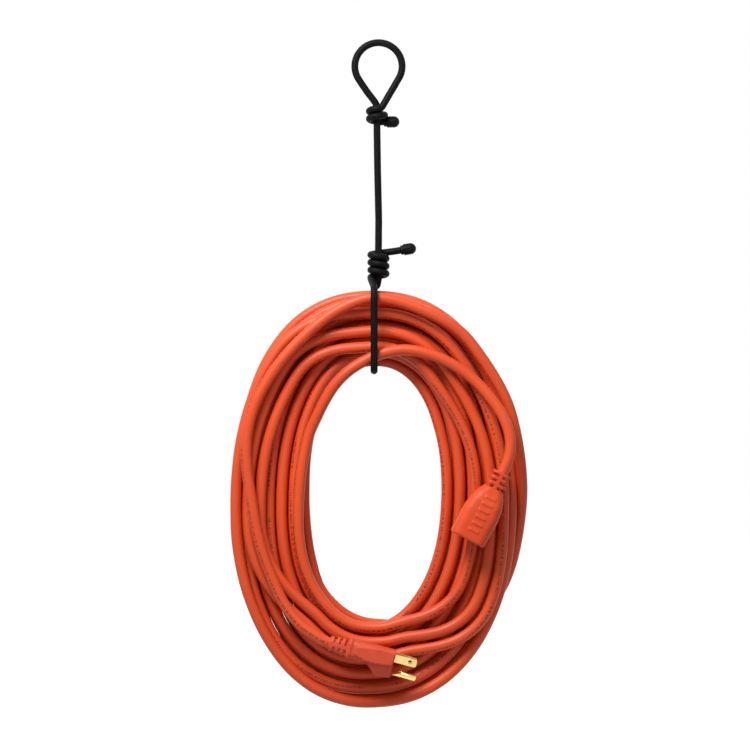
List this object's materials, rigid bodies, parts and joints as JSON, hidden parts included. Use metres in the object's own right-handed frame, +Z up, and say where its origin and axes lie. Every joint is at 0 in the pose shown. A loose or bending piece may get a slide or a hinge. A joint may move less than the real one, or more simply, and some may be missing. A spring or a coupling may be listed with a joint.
{
  "type": "extension cord",
  "caption": "Three-core outdoor extension cord wound in an oval hank, with a grounded plug and connector, hung from a bendable rubber twist tie.",
  "frame": {"origin": "inner top of the tie's hanging loop, where it rests on a hook", "axes": "+Z up, +X to the right of somebody who looks at the front, and -Y out of the front, the side where the plug and the connector lie"},
  "size_m": [0.2387, 0.0737, 0.5399],
  "materials": {
    "cord_jacket": "extruded vinyl, satin",
    "moulded_pvc": "moulded vinyl, satin",
    "insert": "moulded vinyl, satin",
    "bridge": "moulded, hidden",
    "brass": "bright, as pressed",
    "copper": "bare copper strands",
    "wire_black": "extruded vinyl",
    "wire_white": "extruded vinyl",
    "wire_green": "extruded vinyl",
    "tie_rubber": "ribbed, matt",
    "tie_cap": "smooth, satin",
    "core_steel": "drawn, galvanised"
  },
  "bodies": {
    "hanger": {"tie_hang_loop": "tie_rubber", "tie_upper_knot": "tie_rubber", "tie_shank": "tie_rubber", "tie_bundle_loop": "tie_rubber", "tie_lower_knot": "tie_rubber", "tie_cap_upper": "tie_cap", "tie_cap_lower": "tie_cap", "tie_core_wire": "core_steel"},
    "hank": {"cord_coil": "cord_jacket", "cord_plug_tail": "cord_jacket", "cord_connector_tail": "cord_jacket", "plug_body": "moulded_pvc", "plug_bridge": "bridge", "plug_blade_line": "brass", "plug_blade_neutral": "brass", "plug_ground_pin": "brass", "plug_wire_line": "wire_black", "plug_wire_neutral": "wire_white", "plug_wire_ground": "wire_green", "plug_strands": "copper", "connector_body": "moulded_pvc", "connector_insert": "insert", "contact_line": "brass", "contact_neutral": "brass", "contact_ground": "brass", "connector_wire_line": "wire_black", "connector_wire_neutral": "wire_white", "connector_wire_ground": "wire_green", "connector_strands": "copper"}
  },
  "joints": [
    {"name": "hank_swing", "type": "hinge", "parent": "hanger", "child": "hank", "pos_m": [-0.0027, 0, -0.26216], "axis": [0, 1, 0], "range_deg": [-12, 12]}
  ]
}
